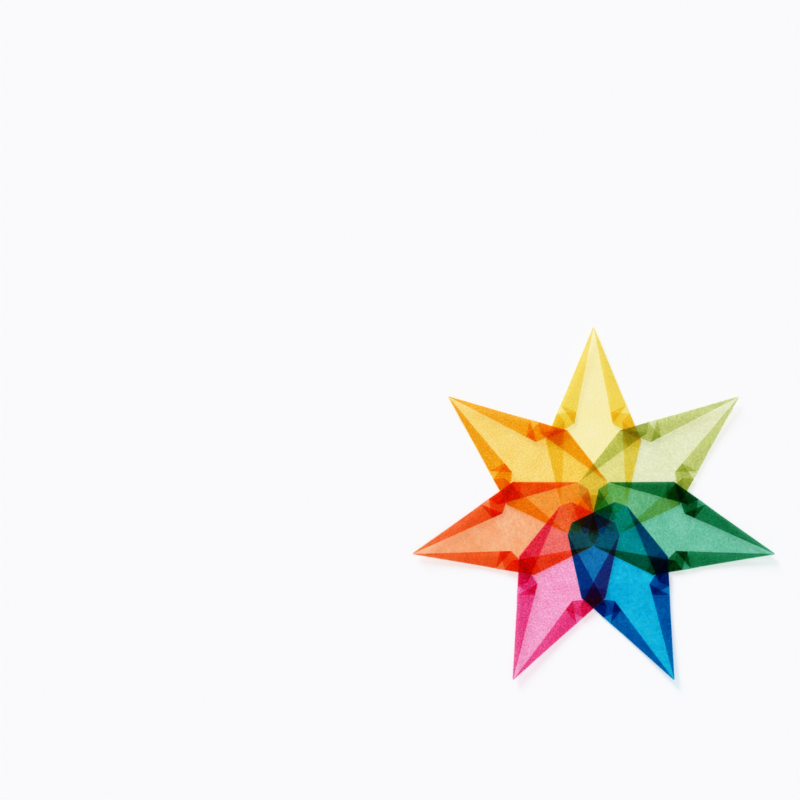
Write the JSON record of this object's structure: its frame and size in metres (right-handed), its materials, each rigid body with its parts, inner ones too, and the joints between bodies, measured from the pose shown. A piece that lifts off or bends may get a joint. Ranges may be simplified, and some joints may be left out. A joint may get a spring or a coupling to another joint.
{
  "type": "folded paper window star",
  "caption": "Flat star of folded translucent glassine sheets, each a slim point, glued one over the next round the middle, to lie flat or show its colours against light.",
  "frame": {"origin": "middle of the star, where the bottom folds of all the points cross, in the plane of the smooth back", "axes": "+Y through the tip of the yellow point, +Z square to the star, from the smooth back to the side with the flaps, +X to the right seen from above"},
  "size_m": [0.1952, 0.1903, 0.0035],
  "materials": {
    "yellow_glassine": "smooth translucent glassine with a faint wax-like sheen",
    "light_green_glassine": "smooth translucent glassine with a faint wax-like sheen",
    "green_glassine": "smooth translucent glassine with a faint wax-like sheen",
    "blue_glassine": "smooth translucent glassine with a faint wax-like sheen",
    "pink_glassine": "smooth translucent glassine with a faint wax-like sheen",
    "orange_glassine": "smooth translucent glassine with a faint wax-like sheen",
    "golden_glassine": "smooth translucent glassine with a faint wax-like sheen"
  },
  "bodies": {
    "root": {"yellow_sheet": "yellow_glassine", "light_green_sheet": "light_green_glassine", "green_sheet": "green_glassine", "blue_sheet": "blue_glassine", "pink_sheet": "pink_glassine", "orange_sheet": "orange_glassine", "golden_sheet": "golden_glassine"}
  },
  "joints": []
}
